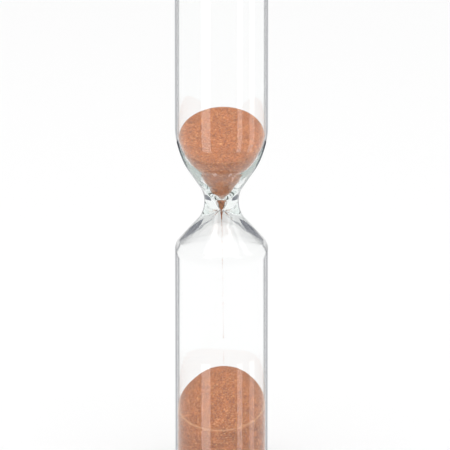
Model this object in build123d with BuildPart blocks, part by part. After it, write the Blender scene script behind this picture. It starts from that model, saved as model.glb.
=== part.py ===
"""An all-glass sand timer: two long bulbs on one neck, closed by flat glass ends, with its sand part run.

The origin is the middle of the ring that the timer stands on, +Z runs up the tube's axis, and -Y is the front.
Sizes are in millimetres. Heights near the neck are measured from the throat, where the bore is narrowest.
"""

import os

from build123d import *

os.makedirs("parts", exist_ok=True)

# Overall size
height = 160
tube_radius = 12.5
tube_wall = 0.6
bore_radius = tube_radius - tube_wall
throat_height = height / 2

# Outside of the neck: two cones that meet at the waist, each rounded into its tube
waist_radius = 2.7
waist_rise = 0.7
waist_round = 7.7
upper_shoulder_rise = 16.3
upper_shoulder_round = 21
lower_shoulder_drop = 10.9
lower_shoulder_round = 2.9

# Inside of the neck: a slender funnel and a bowl above the throat, a trumpet mouth and a dome under it
throat_radius = 0.6
throat_round = 1
funnel_radius = 1.55
funnel_rise = 2.9
funnel_round = 1
bowl_rise = 16.6
bowl_round = 16
mouth_radius = 0.7
mouth_drop = 0.9
mouth_round = 0.6
trumpet_radius = 2.5
trumpet_drop = 2.8
trumpet_round = 4
dome_drop = 11.4
dome_round = 4
neck_rise = 4
neck_drop = 2.4

# Flat glass ends, each fused to its tube along a seam
end_height = 5
floor_thickness = 2.5
end_round = 2.2
end_inner_round = 1.4
punt_radius = 6.5
punt_depth = 0.7
punt_round = 0.6

# Fill hole in the bottom end, and the melted plug that seals it
fill_hole_radius = 1.5
seal_gap = 0.02
seal_head_radius = 2.6
seal_head_height = 0.45

# Sand, which lies a hair inside the glass
sand_gap = 0.05
sand_radius = bore_radius - sand_gap
funnel_sand_rise = 8
surface_rise = 19.7
surface_tilt = 20.6
surface_lean = 1.7
crater_radius = 8
crater_depth = 1.6
crater_floor_radius = 1

# Heap of run sand: a rounded cone, with its peak off the axis where the stream lands
heap_seat = 19
peak_x = 0.7
peak_y = 5.6
peak_height = 31.2
heap_slope = 41
heap_round = 11.2
heap_reach = 18
stream_radius = 0.3
stream_gap = 0.15


def outer_line():
    """Draws the outside of both tubes and the neck, up from the bottom seam to the top one."""
    return FilletPolyline(
        (tube_radius, end_height),
        (tube_radius, throat_height - lower_shoulder_drop),
        (waist_radius, throat_height + waist_rise),
        (tube_radius, throat_height + upper_shoulder_rise),
        (tube_radius, height - end_height),
        radius=(lower_shoulder_round, waist_round, upper_shoulder_round),
    )


def inner_line(bottom, top, gap=0):
    """Draws the bore from one height to another, a gap inside the glass."""
    return FilletPolyline(
        (bore_radius - gap, bottom),
        (bore_radius - gap, throat_height - dome_drop),
        (trumpet_radius - gap, throat_height - trumpet_drop),
        (mouth_radius - gap, throat_height - mouth_drop),
        (throat_radius - gap, throat_height),
        (funnel_radius - gap, throat_height + funnel_rise),
        (bore_radius - gap, throat_height + bowl_rise),
        (bore_radius - gap, top),
        radius=(dome_round, trumpet_round, mouth_round, throat_round, funnel_round, bowl_round),
    )


def keep_between(bottom, top):
    """Trims the sketch in hand to the band between two heights."""
    with Locations((tube_radius / 2, (bottom + top) / 2)):
        Rectangle(2 * tube_radius, top - bottom, mode=Mode.INTERSECT)


def turn_glass(bottom, top):
    """Turns the tube and neck wall between two heights."""
    with BuildSketch(Plane.XZ) as section:
        with BuildLine():
            outside = outer_line()
            inside = inner_line(end_height, height - end_height)
            Line(outside @ 0, inside @ 0)
            Line(outside @ 1, inside @ 1)
        make_face()
        keep_between(bottom, top)
    revolve(section.sketch, axis=Axis.Z)


def turn_sand(bottom, top):
    """Turns the sand that fills the bore between two heights."""
    with BuildSketch(Plane.XZ) as section:
        with BuildLine():
            side = inner_line(floor_thickness, height - floor_thickness, sand_gap)
            Polyline(side @ 0, (0, floor_thickness), (0, height - floor_thickness), side @ 1)
        make_face()
        keep_between(bottom, top)
    revolve(section.sketch, axis=Axis.Z)


# Two bulbs and the neck between them
with BuildPart() as lower_bulb:
    turn_glass(end_height, throat_height - neck_drop)

with BuildPart() as neck:
    turn_glass(throat_height - neck_drop, throat_height + neck_rise)

with BuildPart() as upper_bulb:
    turn_glass(throat_height + neck_rise, height - end_height)

# Top end: a shallow cup with a rounded rim and a punt, so that the timer stands on a ring either way up
with BuildPart() as top_end:
    with BuildSketch(Plane.XZ) as end_section:
        with Locations((0, height)):
            Rectangle(tube_radius, end_height, align=(Align.MIN, Align.MAX))
            Rectangle(punt_radius, punt_depth, align=(Align.MIN, Align.MAX), mode=Mode.SUBTRACT)
        with Locations((0, height - floor_thickness)):
            Rectangle(bore_radius, end_height, align=(Align.MIN, Align.MAX), mode=Mode.SUBTRACT)
        corners = end_section.vertices()
        rim_corner = corners.sort_by_distance((tube_radius, height))[0]
        floor_corner = corners.sort_by_distance((bore_radius, height - floor_thickness))[0]
        punt_corner = corners.sort_by_distance((punt_radius, height - punt_depth))[0]
        fillet(rim_corner, end_round)
        fillet(floor_corner, end_inner_round)
        fillet(punt_corner, punt_round)
    revolve(axis=Axis.Z)

# Bottom end: the same cup turned over, with the fill hole
with BuildPart() as bottom_end:
    mirror(top_end.part, about=Plane.XY.offset(throat_height))
    Hole(fill_hole_radius)

# Fill seal: a plug with a melted head that stays up inside the punt
with BuildPart() as fill_seal:
    with BuildSketch(Plane.XZ):
        with BuildLine():
            head_top = punt_depth - seal_gap
            head_bottom = head_top - seal_head_height
            stem_radius = fill_hole_radius - seal_gap
            Polyline(
                (0, head_bottom),
                (0, floor_thickness),
                (stem_radius, floor_thickness),
                (stem_radius, head_top),
                (seal_head_radius, head_top),
            )
            EllipticalCenterArc((0, head_top), seal_head_radius, seal_head_height, 270, arc_size=90)
        make_face()
    revolve(axis=Axis.Z)

# Sand in the throat and the funnel, which stays full while the level above it falls
with BuildPart() as funnel_sand:
    turn_sand(throat_height, throat_height + funnel_sand_rise)

# Sand still to run: its surface rises towards the back and a little to the right, with a crater in the middle
surface = Plane(
    origin=(0, 0, throat_height + surface_rise),
    x_dir=(1, 0, 0),
    z_dir=Vector(0, 0, 1).rotate(Axis.X, surface_tilt).rotate(Axis.Y, -surface_lean),
)
with BuildPart() as upper_sand:
    turn_sand(throat_height + funnel_sand_rise, height - end_height)
    split(bisect_by=surface, keep=Keep.BOTTOM)
    with Locations(surface):
        Cone(
            crater_floor_radius,
            crater_radius,
            crater_depth,
            align=(Align.CENTER, Align.CENTER, Align.MAX),
            mode=Mode.SUBTRACT,
        )

# Sand that has run: a bed on the floor, and the heap on top of it
with BuildPart() as lower_sand_bed:
    with BuildSketch(Plane.XY.offset(floor_thickness + sand_gap)):
        Circle(sand_radius)
    extrude(amount=heap_seat - floor_thickness - sand_gap)
    bottom_edge = lower_sand_bed.edges().filter_by(GeomType.CIRCLE).sort_by(Axis.Z)[0]
    fillet(bottom_edge, end_inner_round)

with BuildPart() as lower_sand_heap:
    with BuildSketch(Plane.XY.offset(heap_seat)):
        Circle(sand_radius)
    extrude(amount=peak_height - heap_seat)
    with BuildSketch(Plane((peak_x, peak_y, peak_height), x_dir=(1, 0, 0), z_dir=(0, -1, 0))):
        with BuildLine():
            crown = JernArc((0, 0), (1, 0), heap_round, -heap_slope)
            flank = PolarLine(crown @ 1, heap_reach, direction=crown % 1)
            foot = flank @ 1
            Polyline(foot, (foot.X, -peak_height), (0, -peak_height), (0, 0))
        make_face()
    revolve(axis=Axis((peak_x, peak_y, 0), (0, 0, 1)), mode=Mode.INTERSECT)

# Falling sand, from the throat to the heap's peak
fall = Vector(peak_x, peak_y, peak_height - throat_height)
with BuildPart() as sand_stream:
    with BuildSketch(Plane(origin=(0, 0, throat_height), z_dir=fall).offset(stream_gap)):
        Circle(stream_radius)
    extrude(amount=fall.length - 2 * stream_gap)

pieces = {
    "lower_bulb": lower_bulb,
    "neck": neck,
    "upper_bulb": upper_bulb,
    "top_end": top_end,
    "bottom_end": bottom_end,
    "fill_seal": fill_seal,
    "upper_sand": upper_sand,
    "funnel_sand": funnel_sand,
    "sand_stream": sand_stream,
    "lower_sand_heap": lower_sand_heap,
    "lower_sand_bed": lower_sand_bed,
}
for name, piece in pieces.items():
    piece.part.label = name
    export_step(piece.part, f"parts/{name}.step")
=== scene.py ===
"""Looks of an all-glass sand timer: fused glass, terracotta sand, and a falling thread of grains."""

import math
import random

import bmesh
import bpy
from mathutils import Euler, Matrix, Vector


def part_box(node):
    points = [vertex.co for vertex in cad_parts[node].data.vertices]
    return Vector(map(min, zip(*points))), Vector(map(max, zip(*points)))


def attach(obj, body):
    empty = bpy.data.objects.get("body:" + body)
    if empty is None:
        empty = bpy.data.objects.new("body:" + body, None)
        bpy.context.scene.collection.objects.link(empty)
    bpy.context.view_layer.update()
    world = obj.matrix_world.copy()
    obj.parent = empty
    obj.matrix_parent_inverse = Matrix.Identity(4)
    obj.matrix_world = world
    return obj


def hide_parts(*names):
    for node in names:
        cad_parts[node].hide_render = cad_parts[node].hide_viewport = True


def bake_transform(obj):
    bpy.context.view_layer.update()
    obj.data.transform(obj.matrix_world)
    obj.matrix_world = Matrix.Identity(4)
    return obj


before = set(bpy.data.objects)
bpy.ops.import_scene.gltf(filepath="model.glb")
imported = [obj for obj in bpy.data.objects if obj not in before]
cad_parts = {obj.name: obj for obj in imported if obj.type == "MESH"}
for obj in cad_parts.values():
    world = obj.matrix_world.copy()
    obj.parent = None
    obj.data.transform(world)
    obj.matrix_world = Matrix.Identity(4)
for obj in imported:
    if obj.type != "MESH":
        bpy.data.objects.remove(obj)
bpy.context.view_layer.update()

# ---------------------------------------------------------------- sizes, in metres

MM = 0.001


def box_of(node):
    """Gives the lowest and highest corners of a CAD node."""
    low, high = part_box(node)
    return Vector(low), Vector(high)


# Glass
glass_top = box_of("top_end")[1].z
tube_radius = box_of("upper_bulb")[1].x
wall = 0.6 * MM
bore_radius = tube_radius - wall
throat = box_of("funnel_sand")[0].z
floor_thickness = 2.5 * MM
end_round = 2.2 * MM
end_inner_round = 1.4 * MM
punt_radius = 6.5 * MM
punt_depth = 0.7 * MM
punt_round = 0.3 * MM
bead_radius = box_of("fill_seal")[1].x
bead_bottom = box_of("fill_seal")[0].z

# Sand
sand_gap = 0.03 * MM
sand_radius = bore_radius - sand_gap
sand_floor = floor_thickness + sand_gap
sand_tip = throat - 0.3 * MM
grain_size = 0.28 * MM
loose_grain_count = 1400

# Surface of the sand still to run: a leaning plane with a round crater
surface_height = throat + 19.7 * MM
surface_tilt = math.radians(20.6)
surface_lean = math.radians(1.7)
crater_radius = 8 * MM
crater_depth = 1.6 * MM

# Surface of the run sand: a cone with a round top, where the stream lands
heap_low, heap_high = box_of("lower_sand_heap")
peak = Vector((0.7 * MM, 5.6 * MM, heap_high.z))
heap_slope = math.radians(41)
heap_round = 11.2 * MM

# Falling sand: packed at the throat, then single grains
falling_grain_size = 0.2 * MM
packed_length = 3 * MM
packed_spread = 0.5 * MM
thread_spread = 0.08 * MM
drift = 0.06 * MM
packed_grain_count = 200
falling_grain_count = 100

# Finishes
ripple_size = 3.5 * MM
ripple_depth = 0.25 * MM
patch_size = 2.5 * MM

# Studio
floor_radius = 2
overhead_distance = 1.5
overhead_size = 1.6
strip_distance = 25 * MM
card_distance = 32 * MM
view_distance = 3
view_width = 121 * MM
view_rise = math.radians(20)

merge_distance = 0.002 * MM
chance = random.Random(12)


# ---------------------------------------------------------------- making meshes

def profile_wire(corners):
    """Makes a chain of edges in the XZ plane from (radius, height, rounding) corners."""
    bm = bmesh.new()
    chain = [bm.verts.new((radius, 0, height)) for radius, height, rounding in corners]
    for start, end in zip(chain, chain[1:]):
        bm.edges.new((start, end))
    roundings = [corner[2] for corner in corners]
    for vert, rounding in zip(chain, roundings):
        if rounding:
            round_corner(bm, vert, rounding)
    return bm


def round_corner(bm, vert, rounding):
    """Rounds one corner of a wire to a radius."""
    first, second = (edge.other_vert(vert).co - vert.co for edge in vert.link_edges)
    turn = math.pi - first.angle(second)
    bmesh.ops.bevel(
        bm,
        geom=[vert],
        offset=rounding * math.tan(turn / 2),
        offset_type="OFFSET",
        segments=max(3, round(math.degrees(turn) / 4)),
        profile=0.5,
        affect="VERTICES",
        material=-1,
    )


def spin_shell(bm, steps=160):
    """Spins the wire once round the Z axis into a closed shell that faces outwards."""
    bmesh.ops.spin(
        bm,
        geom=bm.verts[:] + bm.edges[:],
        cent=(0, 0, 0),
        axis=(0, 0, 1),
        angle=math.tau,
        steps=steps,
        use_merge=True,
    )
    bmesh.ops.remove_doubles(bm, verts=bm.verts, dist=merge_distance)
    bmesh.ops.recalc_face_normals(bm, faces=bm.faces)


def new_verts(grown):
    """Picks the vertices out of what an extrusion made."""
    return [item for item in grown if isinstance(item, bmesh.types.BMVert)]


def place_object(name, data):
    """Puts a new object into the scene."""
    new_object = bpy.data.objects.new(name, data)
    bpy.context.collection.objects.link(new_object)
    return new_object


def finish_piece(bm, name, material):
    """Turns a bmesh into a smooth-shaded object with one material."""
    mesh = bpy.data.meshes.new(name)
    bm.to_mesh(mesh)
    bm.free()
    mesh.shade_smooth()
    mesh.materials.append(material)
    return place_object(name, mesh)


# ---------------------------------------------------------------- profiles

def above(height_mm):
    """Gives a height that is measured in millimetres from the throat."""
    return throat + height_mm * MM


def funnel_corners(gap=0.0):
    """Lists the corners of the funnel and the bowl above the throat."""
    return [
        (1.55 * MM - gap, above(2.9), 1 * MM),
        (bore_radius - gap, above(16.6), 16 * MM),
    ]


def bore_corners():
    """Lists the corners of the bore from the lower dome up to the bowl."""
    return [
        (bore_radius, above(-11.4), 4 * MM),
        (2.5 * MM, above(-2.8), 4 * MM),
        (0.7 * MM, above(-0.9), 0.6 * MM),
        (0.6 * MM, above(0), 1 * MM),
        *funnel_corners(),
    ]


def glass_outside():
    """Makes the outer skin of the glass, from the bottom punt over both bulbs to the top punt."""
    return profile_wire([
        (0, bead_bottom, 0),
        (bead_radius * 0.7, bead_bottom, 0.6 * MM),
        (bead_radius, punt_depth, 0.2 * MM),
        (punt_radius, punt_depth, punt_round),
        (punt_radius, 0, punt_round),
        (tube_radius, 0, end_round),
        (tube_radius, above(-10.9), 2.9 * MM),
        (2.7 * MM, above(0.7), 7.7 * MM),
        (tube_radius, above(16.3), 21 * MM),
        (tube_radius, glass_top, end_round),
        (punt_radius, glass_top, punt_round),
        (punt_radius, glass_top - punt_depth, punt_round),
        (0, glass_top - punt_depth, 0),
    ])


def glass_inside():
    """Makes the skin of the hollow: both chambers and the throat between them."""
    return profile_wire([
        (0, floor_thickness, 0),
        (bore_radius, floor_thickness, end_inner_round),
        *bore_corners(),
        (bore_radius, glass_top - floor_thickness, end_inner_round),
        (0, glass_top - floor_thickness, 0),
    ])


# ---------------------------------------------------------------- materials

def set_inputs(node, values):
    """Sets the named inputs of a shader node to constants."""
    for socket, value in values.items():
        node.inputs[socket].default_value = value


def new_material(name, values):
    """Makes a material, with constants on the inputs of its Principled shader."""
    material = bpy.data.materials.new(name)
    material.use_nodes = True
    set_inputs(material.node_tree.nodes["Principled BSDF"], values)
    return material


def add_node(tree, kind, values=None, **settings):
    """Adds a shader node, with its settings and the constants on its inputs."""
    node = tree.nodes.new(kind)
    for name, value in settings.items():
        setattr(node, name, value)
    set_inputs(node, values or {})
    return node


def fade(tree, source, start, end, at_start, at_end, **settings):
    """Fades one value into another as a source runs from start to end."""
    limits = {"From Min": start, "From Max": end, "To Min": at_start, "To Max": at_end}
    node = add_node(tree, "ShaderNodeMapRange", limits, **settings)
    tree.links.new(source, node.inputs["Value"])
    return node.outputs["Result"]


def calculate(tree, operation, *sources):
    """Adds a Math node on one or two values, each of them an output or a number."""
    node = add_node(tree, "ShaderNodeMath", operation=operation)
    for socket, source in zip(node.inputs, sources):
        if isinstance(source, bpy.types.NodeSocket):
            tree.links.new(source, socket)
        else:
            socket.default_value = source
    return node.outputs["Value"]


def height_along(tree, source):
    """Reads the Z part of a vector."""
    parts = add_node(tree, "ShaderNodeSeparateXYZ")
    tree.links.new(source, parts.inputs["Vector"])
    return parts.outputs["Z"]


def clear_glass():
    """Makes borosilicate glass: faintly green where thick, softly rippled at the worked neck, and with
    painted shade where upright walls are seen nearly edge on.
    """
    material = new_material("clear_glass", {"Roughness": 0, "IOR": 1.474, "Transmission Weight": 1})
    tree = material.node_tree
    links = tree.links
    shader = tree.nodes["Principled BSDF"]
    output = tree.nodes["Material Output"]
    tint = add_node(tree, "ShaderNodeVolumeAbsorption", {"Color": (0.5, 0.68, 0.62, 1), "Density": 22})
    links.new(tint.outputs["Volume"], output.inputs["Volume"])

    # Painted shade: the base colour turns near black where upright walls are seen nearly edge on, so the
    # dark line along each edge of the tube is partly this painted shade and partly real refraction and
    # reflection in the wall
    facing = add_node(tree, "ShaderNodeLayerWeight", {"Blend": 0.5})
    edge_shade_mask = fade(tree, facing.outputs["Facing"], 0.66, 0.77, 0, 1, interpolation_type="SMOOTHSTEP")
    surface = add_node(tree, "ShaderNodeNewGeometry")
    slant = calculate(tree, "ABSOLUTE", height_along(tree, surface.outputs["Normal"]))
    upright = fade(tree, slant, 0.2, 0.9, 1, 0)
    body = add_node(tree, "ShaderNodeMix", data_type="RGBA")
    body.inputs["A"].default_value = (1, 1, 1, 1)
    body.inputs["B"].default_value = (0.04, 0.045, 0.06, 1)
    links.new(calculate(tree, "MULTIPLY", edge_shade_mask, upright), body.inputs["Factor"])
    links.new(body.outputs["Result"], shader.inputs["Base Color"])

    # Ripples that the torch leaves, strongest at the throat
    place = add_node(tree, "ShaderNodeTexCoord").outputs["Object"]
    ripples = add_node(tree, "ShaderNodeTexNoise", {"Scale": 1 / ripple_size, "Detail": 0.5})
    links.new(place, ripples.inputs["Vector"])
    from_neck = calculate(tree, "SUBTRACT", height_along(tree, place), throat + 3 * MM)
    distance = calculate(tree, "ABSOLUTE", from_neck)
    worked = fade(tree, distance, 3 * MM, 15 * MM, 1, 0, interpolation_type="SMOOTHSTEP")
    bump = add_node(tree, "ShaderNodeBump", {"Strength": 0.5, "Distance": ripple_depth})
    links.new(calculate(tree, "MULTIPLY", ripples.outputs["Fac"], worked), bump.inputs["Height"])
    links.new(bump.outputs["Normal"], shader.inputs["Normal"])

    # Light passes straight through, so the glass casts no dark shadow
    clear = add_node(tree, "ShaderNodeBsdfTransparent")
    path = add_node(tree, "ShaderNodeLightPath")
    mix = add_node(tree, "ShaderNodeMixShader")
    links.new(path.outputs["Is Shadow Ray"], mix.inputs["Fac"])
    links.new(shader.outputs["BSDF"], mix.inputs[1])
    links.new(clear.outputs["BSDF"], mix.inputs[2])
    links.new(mix.outputs["Shader"], output.inputs["Surface"])
    return material


def terracotta_sand():
    """Makes dry terracotta sand, with a tone, a gloss and a bump for every grain."""
    material = new_material("terracotta_sand", {})
    tree = material.node_tree
    links = tree.links
    shader = tree.nodes["Principled BSDF"]
    place = add_node(tree, "ShaderNodeTexCoord").outputs["Object"]
    grains = add_node(tree, "ShaderNodeTexVoronoi", {"Scale": 1 / grain_size})
    links.new(place, grains.inputs["Vector"])
    tone = add_node(tree, "ShaderNodeSeparateColor")
    links.new(grains.outputs["Color"], tone.inputs["Color"])

    # Mostly terracotta, with a few dark grains and a few pale quartz ones
    ramp = add_node(tree, "ShaderNodeValToRGB")
    stops = ramp.color_ramp.elements
    stops[0].color = (0.27, 0.07, 0.018, 1)
    stops[1].color = (0.8, 0.4, 0.15, 1)
    stops.new(0.2).color = (0.46, 0.13, 0.03, 1)
    stops.new(0.6).color = (0.54, 0.165, 0.038, 1)
    stops.new(0.9).color = (0.62, 0.215, 0.06, 1)
    links.new(tone.outputs["Red"], ramp.inputs["Fac"])

    # Slow drift between darker and lighter patches
    patches = add_node(tree, "ShaderNodeTexNoise", {"Scale": 1 / patch_size, "Detail": 4})
    links.new(place, patches.inputs["Vector"])
    shaded = add_node(tree, "ShaderNodeVectorMath", operation="SCALE")
    links.new(ramp.outputs["Color"], shaded.inputs["Vector"])
    links.new(fade(tree, patches.outputs["Fac"], 0.3, 0.7, 0.86, 1.1), shaded.inputs["Scale"])

    # Painted highlight: a paler colour along the rim where the surface meets the glass, standing in for
    # light caught along that line
    rim_highlight = add_node(tree, "ShaderNodeAttribute", attribute_name="rim_highlight")
    highlight_mix = add_node(tree, "ShaderNodeMix", data_type="RGBA")
    links.new(rim_highlight.outputs["Fac"], highlight_mix.inputs["Factor"])
    links.new(shaded.outputs["Vector"], highlight_mix.inputs["A"])
    highlight_mix.inputs["B"].default_value = (0.85, 0.48, 0.24, 1)
    links.new(highlight_mix.outputs["Result"], shader.inputs["Base Color"])

    links.new(fade(tree, tone.outputs["Green"], 0, 1, 0.95, 0.55), shader.inputs["Roughness"])
    bump = add_node(tree, "ShaderNodeBump", {"Strength": 0.6, "Distance": grain_size * 0.4}, invert=True)
    links.new(grains.outputs["Distance"], bump.inputs["Height"])
    links.new(bump.outputs["Normal"], shader.inputs["Normal"])
    return material


glass = clear_glass()
sand = terracotta_sand()

# ---------------------------------------------------------------- glass

outside = glass_outside()
spin_shell(outside)
inside = glass_inside()
spin_shell(inside)
bmesh.ops.reverse_faces(inside, faces=inside.faces)
hollow = bpy.data.meshes.new("hollow")
inside.to_mesh(hollow)
inside.free()
outside.from_mesh(hollow)
bpy.data.meshes.remove(hollow)
glass_body = finish_piece(outside, "glass_body", glass)
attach(glass_body, "glass")
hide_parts("lower_bulb", "neck", "upper_bulb", "top_end", "bottom_end", "fill_seal")


# ---------------------------------------------------------------- beds of sand

def heap_height(x, y):
    """Gives the height of the run sand's surface."""
    distance = math.hypot(x - peak.x, y - peak.y)
    crown = heap_round * math.sin(heap_slope)
    if distance < crown:
        return peak.z - heap_round + math.sqrt(heap_round**2 - distance**2)
    drop = heap_round * (1 - math.cos(heap_slope)) + (distance - crown) * math.tan(heap_slope)
    return peak.z - drop


def level_height(x, y):
    """Gives the height of the surface of the sand still to run."""
    plane = surface_height + y * math.tan(surface_tilt) + x * math.tan(surface_lean)
    distance = math.hypot(x, y)
    if distance > crater_radius:
        return plane
    return plane - crater_depth * 0.5 * (1 + math.cos(math.pi * distance / crater_radius))


def cover(bm, height_at, rim_highlight_strength, rings=36):
    """Closes an open rim with rings of sand surface that shrink to its middle, and marks the rim for a
    painted highlight.
    """
    edges = [edge for edge in bm.edges if edge.is_boundary]
    rim_highlight = bm.verts.layers.float.new("rim_highlight")
    for ring in range(rings):
        keep = 1 - 1 / (rings - ring)
        grown = bmesh.ops.extrude_edge_only(bm, edges=edges)["geom"]
        verts = new_verts(grown)
        edges = [item for item in grown if isinstance(item, bmesh.types.BMEdge) and item.is_boundary]
        bmesh.ops.scale(bm, verts=verts, vec=(keep, keep, 1))
        for vert in verts:
            vert.co.z = height_at(vert.co.x, vert.co.y)
            # Only the outer ring gets the painted highlight along the rim
            vert[rim_highlight] = rim_highlight_strength if ring == 0 else 0
    bmesh.ops.remove_doubles(bm, verts=bm.verts, dist=merge_distance)
    bmesh.ops.recalc_face_normals(bm, faces=bm.faces)


def bed_side(corners):
    """Spins the side of a bed of sand, with rings close enough together to stretch smoothly."""
    bm = profile_wire(corners)
    long_runs = [edge for edge in bm.edges if edge.calc_length() > 2 * MM]
    bmesh.ops.subdivide_edges(bm, edges=long_runs, cuts=7)
    spin_shell(bm)
    return bm


# Sand that has run: the bed stays in the bottom end while the heap on it rises
run = bed_side([
    (0, sand_floor, 0),
    (sand_radius, sand_floor, end_inner_round),
    (sand_radius, heap_low.z, 0),
])
for vert in run.verts:
    if vert.is_boundary:
        vert.co.z = heap_height(vert.co.x, vert.co.y)
cover(run, heap_height, rim_highlight_strength=0.5)
sand_run = finish_piece(run, "sand_run", sand)
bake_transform(sand_run)
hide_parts("lower_sand_heap", "lower_sand_bed")

# Sand still to run: it fills the funnel, and its level falls
level_normal = Vector((-math.tan(surface_lean), -math.tan(surface_tilt), 1)).normalized()
level_middle = Vector((0, 0, surface_height))
left = bed_side([
    (0, sand_tip, 0),
    (0.55 * MM, sand_tip, 0),
    (0.57 * MM, above(0), 0),
    *funnel_corners(sand_gap),
    (sand_radius, above(30), 0),
])
bmesh.ops.bisect_plane(
    left,
    geom=left.verts[:] + left.edges[:] + left.faces[:],
    plane_co=level_middle,
    plane_no=level_normal,
    clear_outer=True,
)
cover(left, level_height, rim_highlight_strength=0.12)
sand_left = finish_piece(left, "sand_left", sand)
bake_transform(sand_left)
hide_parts("upper_sand", "funnel_sand")


# ---------------------------------------------------------------- loose grains

def drop_grain(bm, place, size):
    """Adds one faceted grain, stretched and turned by chance."""
    width, depth, height = chance.uniform(0.7, 1.1), chance.uniform(0.7, 1.1), chance.uniform(0.6, 1)
    stretch = Matrix.Diagonal((width, depth, height, 1))
    turn = Euler([chance.uniform(0, math.tau) for axis in range(3)]).to_matrix().to_4x4()
    bmesh.ops.create_icosphere(
        bm,
        subdivisions=1,
        radius=size / 2,
        matrix=Matrix.Translation(place) @ turn @ stretch,
    )


def spot_in_disc(radius):
    """Picks a spot in a level disc by chance."""
    reach = radius * math.sqrt(chance.random())
    turn = chance.uniform(0, math.tau)
    return Vector((reach * math.cos(turn), reach * math.sin(turn), 0))


def scatter_grains(name, count, height_at, body):
    """Strews loose grains over a bed, each sunk a little way into it."""
    bm = bmesh.new()
    for grain in range(count):
        place = spot_in_disc(sand_radius - grain_size)
        size = grain_size * chance.uniform(0.6, 1)
        place.z = height_at(place.x, place.y) + size * 0.15
        drop_grain(bm, place, size)
    piece = finish_piece(bm, name, sand)
    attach(piece, body)


scatter_grains("heap_grains", loose_grain_count, heap_height, "lower_level")
scatter_grains("level_grains", loose_grain_count, level_height, "upper_level")

# Falling grains: packed together in the mouth, and further apart as they gather speed
mouth = Vector((0, 0, sand_tip))
fall = peak - mouth
stream = bmesh.new()
for grain in range(packed_grain_count):
    share = chance.random()
    offset = spot_in_disc(packed_spread * (1 - share) ** 2 + thread_spread)
    drop_grain(stream, mouth + fall.normalized() * packed_length * share + offset, falling_grain_size)
start_share = (packed_length / fall.length) ** 0.5
for grain in range(falling_grain_count):
    share = (start_share + (1 - start_share) * chance.random()) ** 2
    offset = Vector((chance.gauss(0, drift), chance.gauss(0, drift), 0))
    drop_grain(stream, mouth + fall * share + offset, falling_grain_size * 0.9)
stream_grains = finish_piece(stream, "stream_grains", sand)
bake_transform(stream_grains)
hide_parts("sand_stream")

# ---------------------------------------------------------------- stage, light and camera

white = new_material("white_floor", {"Base Color": (0.93, 0.93, 0.93, 1), "Roughness": 0.9})
disc = bmesh.new()
bmesh.ops.create_circle(disc, cap_ends=True, segments=96, radius=floor_radius)
floor = finish_piece(disc, "floor", white)

world = bpy.data.worlds.new("studio")
bpy.context.scene.world = world
world.use_nodes = True
set_inputs(world.node_tree.nodes["Background"], {"Color": (1, 1, 1, 1), "Strength": 0.75})


def away_at(azimuth, rise=0):
    """Points away from the axis: azimuth runs from the front round to the right, and rise goes up."""
    turn = math.radians(azimuth)
    rise = math.radians(rise)
    return Vector((math.sin(turn) * math.cos(rise), -math.cos(turn) * math.cos(rise), math.sin(rise)))


def hang_lamp(name, place, facing_away, width, height, power):
    """Hangs a rectangular lamp, with its back to a direction."""
    lamp = bpy.data.lights.new(name, "AREA")
    lamp.shape = "RECTANGLE"
    lamp.size = width
    lamp.size_y = height
    lamp.energy = power
    lamp_object = place_object(name, lamp)
    lamp_object.location = place
    lamp_object.rotation_euler = facing_away.to_track_quat("Z", "Y").to_euler()
    lamp_object.visible_camera = False
    return lamp_object


def gloss_strip(name, left_angle, right_angle, low, high, brightness):
    """Stands a narrow lamp near the tube, seen only as a strip of gloss between two angles round it."""
    left_edge, right_edge = (
        away_at(angle) * tube_radius + away_at(2 * angle) * strip_distance
        for angle in (left_angle, right_angle)
    )
    across = right_edge - left_edge
    upright = Vector((0, 0, 1))
    middle = (left_edge + right_edge) / 2 + upright * (low + high) / 2
    power = brightness * across.length * (high - low)
    strip = hang_lamp(name, middle, across.cross(upright), across.length, high - low, power)
    strip.visible_diffuse = False
    strip.visible_transmission = False


def grey_card(name, azimuth, half_width, low, high):
    """Stands a grey card behind the neck, seen only in the glass, where it makes a dark patch."""
    shape = bmesh.new()
    turns = (180 - azimuth - half_width, 180 - azimuth + half_width)
    corners = [away_at(turn) * card_distance + Vector((0, 0, low)) for turn in turns]
    foot = shape.edges.new([shape.verts.new(corner) for corner in corners])
    grown = bmesh.ops.extrude_edge_only(shape, edges=[foot])["geom"]
    bmesh.ops.translate(shape, verts=new_verts(grown), vec=(0, 0, high - low))
    card_object = finish_piece(shape, name, grey)
    card_object.visible_camera = False
    card_object.visible_shadow = False
    card_object.visible_diffuse = False


overhead = away_at(0, 80)
overhead_place = Vector((0, 0, glass_top / 2)) + overhead * overhead_distance
hang_lamp("overhead", overhead_place, overhead, overhead_size, overhead_size, power=12)
for bulb, low, high in (("lower", 0, 30 * MM), ("upper", throat, glass_top)):
    gloss_strip(f"{bulb}_left_strip", -25.6, -13.8, low, high, brightness=10)
    gloss_strip(f"{bulb}_right_strip", 20, 26.7, low, high, brightness=9)
    gloss_strip(f"{bulb}_side_strip", 37, 45, low, high, brightness=6)

grey = new_material("grey_card", {"Base Color": (0.2, 0.21, 0.25, 1), "Roughness": 1})
for side, hand in (("left", -1), ("right", 1)):
    grey_card(f"{side}_neck_card", azimuth=36 * hand, half_width=15, low=75 * MM, high=88 * MM)

camera = place_object("camera", bpy.data.cameras.new("camera"))
camera.data.sensor_width = 36
camera.data.lens = camera.data.sensor_width * view_distance / view_width
camera.data.clip_end = 20
look_at = Vector((0.94 * MM, 0, above(-5.4)))
view_line = Vector((0, -math.cos(view_rise), math.sin(view_rise)))
camera.location = look_at + view_line * view_distance
camera.rotation_euler = view_line.to_track_quat("Z", "Y").to_euler()

# Light crosses the thick funnel many times, so it needs more bounces than usual
scene = bpy.context.scene
scene.camera = camera
scene.view_settings.view_transform = "Standard"
scene.cycles.max_bounces = 40
scene.cycles.glossy_bounces = 32
scene.cycles.transmission_bounces = 32
scene.cycles.transparent_max_bounces = 16
